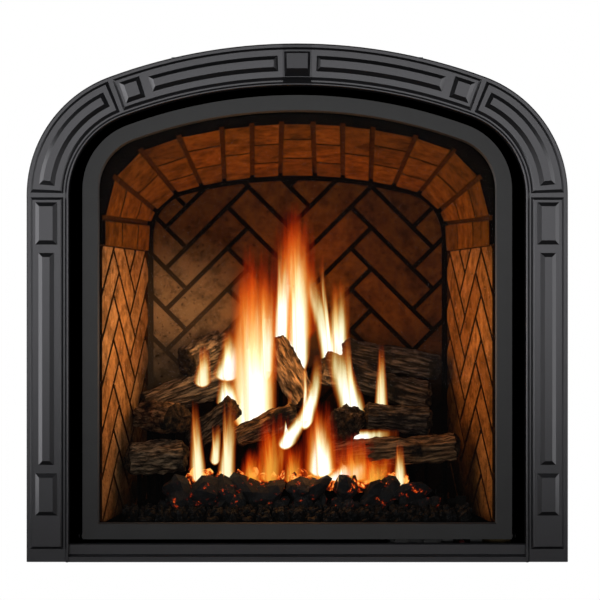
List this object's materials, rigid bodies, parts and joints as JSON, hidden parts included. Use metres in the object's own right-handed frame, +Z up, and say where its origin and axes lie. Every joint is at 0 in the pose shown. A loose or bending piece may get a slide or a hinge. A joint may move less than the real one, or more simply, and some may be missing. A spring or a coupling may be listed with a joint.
{
  "type": "gas fireplace",
  "caption": "Arched gas fireplace: panelled cast surround around a drop-down glass door, with a brick-lined firebox, ceramic log set, burner and direct-vent collars.",
  "frame": {"origin": "on the hearth, in the middle of the unit's width, at the wall plane behind the surround", "axes": "+X to the right seen from the front, +Y back into the wall, +Z up"},
  "size_m": [1.04, 0.5043, 0.996],
  "materials": {
    "charcoal_castings": "satin charcoal paint on cast iron",
    "bright_steel": "plain zinc-plated steel",
    "door_black": "satin black heat-proof paint",
    "clear_pane": "clear ceramic glass",
    "fibre_rope": "woven glass fibre",
    "galvanised_sheet": "galvanised sheet steel",
    "matt_black_sheet": "matt black heat-proof paint",
    "brown_brick": "moulded ceramic fibre, brick brown",
    "gas_brass": "turned brass",
    "gas_tube": "drawn tube",
    "valve_alloy": "die-cast alloy",
    "black_plastic": "matt moulded",
    "red_plastic": "matt moulded",
    "fired_log": "charred refractory",
    "ember_coal": "glowing refractory lumps",
    "dark_rock": "crushed, matt"
  },
  "bodies": {
    "casing": {"base_and_back_pan": "galvanised_sheet", "outer_wrap": "galvanised_sheet", "front_fascia": "matt_black_sheet", "nailing_tabs": "galvanised_sheet", "top_standoffs": "galvanised_sheet", "firebox_shell": "matt_black_sheet", "inner_vent_collar": "galvanised_sheet", "outer_vent_collar": "galvanised_sheet", "firebox_floor": "matt_black_sheet", "liner_left": "brown_brick", "liner_right": "brown_brick", "liner_back": "brown_brick", "liner_vault": "brown_brick", "door_seat": "matt_black_sheet", "door_rope_seal": "fibre_rope", "pivot_brackets": "matt_black_sheet", "burner_tray": "matt_black_sheet", "burner_top": "matt_black_sheet", "orifice_spud": "gas_brass", "manifold_tube": "gas_tube", "pilot_assembly": "gas_tube", "pilot_tube": "gas_tube", "gas_valve": "valve_alloy", "control_bracket": "galvanised_sheet", "igniter_body": "black_plastic", "supply_pipe": "gas_tube", "shutoff_valve": "gas_brass", "log_pins": "matt_black_sheet", "log_rear_left": "fired_log", "log_rear_right": "fired_log", "log_rear_high": "fired_log", "log_bark_left": "fired_log", "log_upright": "fired_log", "log_left_cut": "fired_log", "log_left_lean": "fired_log", "log_front_left": "fired_log", "log_middle": "fired_log", "log_round_end": "fired_log", "log_right_charred": "fired_log", "log_front_right": "fired_log", "glowing_coals": "ember_coal", "crushed_rock": "dark_rock"},
    "surround": {"left_jamb": "charcoal_castings", "right_jamb": "charcoal_castings", "left_corner_casting": "charcoal_castings", "right_corner_casting": "charcoal_castings", "crown_casting": "charcoal_castings", "sill_rail": "charcoal_castings", "splice_plates": "bright_steel", "surround_screws": "bright_steel", "locating_studs": "bright_steel"},
    "glass_door": {"door_frame": "door_black", "glass_pane": "clear_pane", "pane_gasket": "fibre_rope", "pane_retainers": "door_black"},
    "gas_knob": {"gas_knob": "black_plastic"},
    "flame_knob": {"flame_knob": "black_plastic"},
    "igniter_button": {"igniter_button": "red_plastic"},
    "air_shutter": {"air_shutter": "gas_tube"},
    "shutoff_lever": {"shutoff_lever": "red_plastic"}
  },
  "joints": [
    {"name": "surround_pull", "type": "slide", "parent": "casing", "child": "surround", "axis": [0, -1, 0], "range_m": [0, 0.06]},
    {"name": "door_drop", "type": "hinge", "parent": "casing", "child": "glass_door", "pos_m": [0, -0.003, 0.048], "axis": [1, 0, 0], "range_deg": [0, 75]},
    {"name": "gas_knob_turn", "type": "hinge", "parent": "casing", "child": "gas_knob", "pos_m": [0.2031, 0.03, 0.028], "axis": [0, -1, 0], "range_deg": [0, 120]},
    {"name": "flame_knob_turn", "type": "hinge", "parent": "casing", "child": "flame_knob", "pos_m": [0.2598, 0.03, 0.028], "axis": [0, -1, 0], "range_deg": [0, 90]},
    {"name": "igniter_press", "type": "slide", "parent": "casing", "child": "igniter_button", "axis": [0, 1, 0], "range_m": [0, 0.006], "stiffness_N_per_m": 400, "springref_m": -0.004},
    {"name": "air_shutter_turn", "type": "hinge", "parent": "casing", "child": "air_shutter", "pos_m": [0.294, 0.191, 0.09], "axis": [1, 0, 0], "range_deg": [0, 60]},
    {"name": "shutoff_turn", "type": "hinge", "parent": "casing", "child": "shutoff_lever", "pos_m": [0.395, 0.076, 0.047], "axis": [0, 0, 1], "range_deg": [0, 90]}
  ]
}
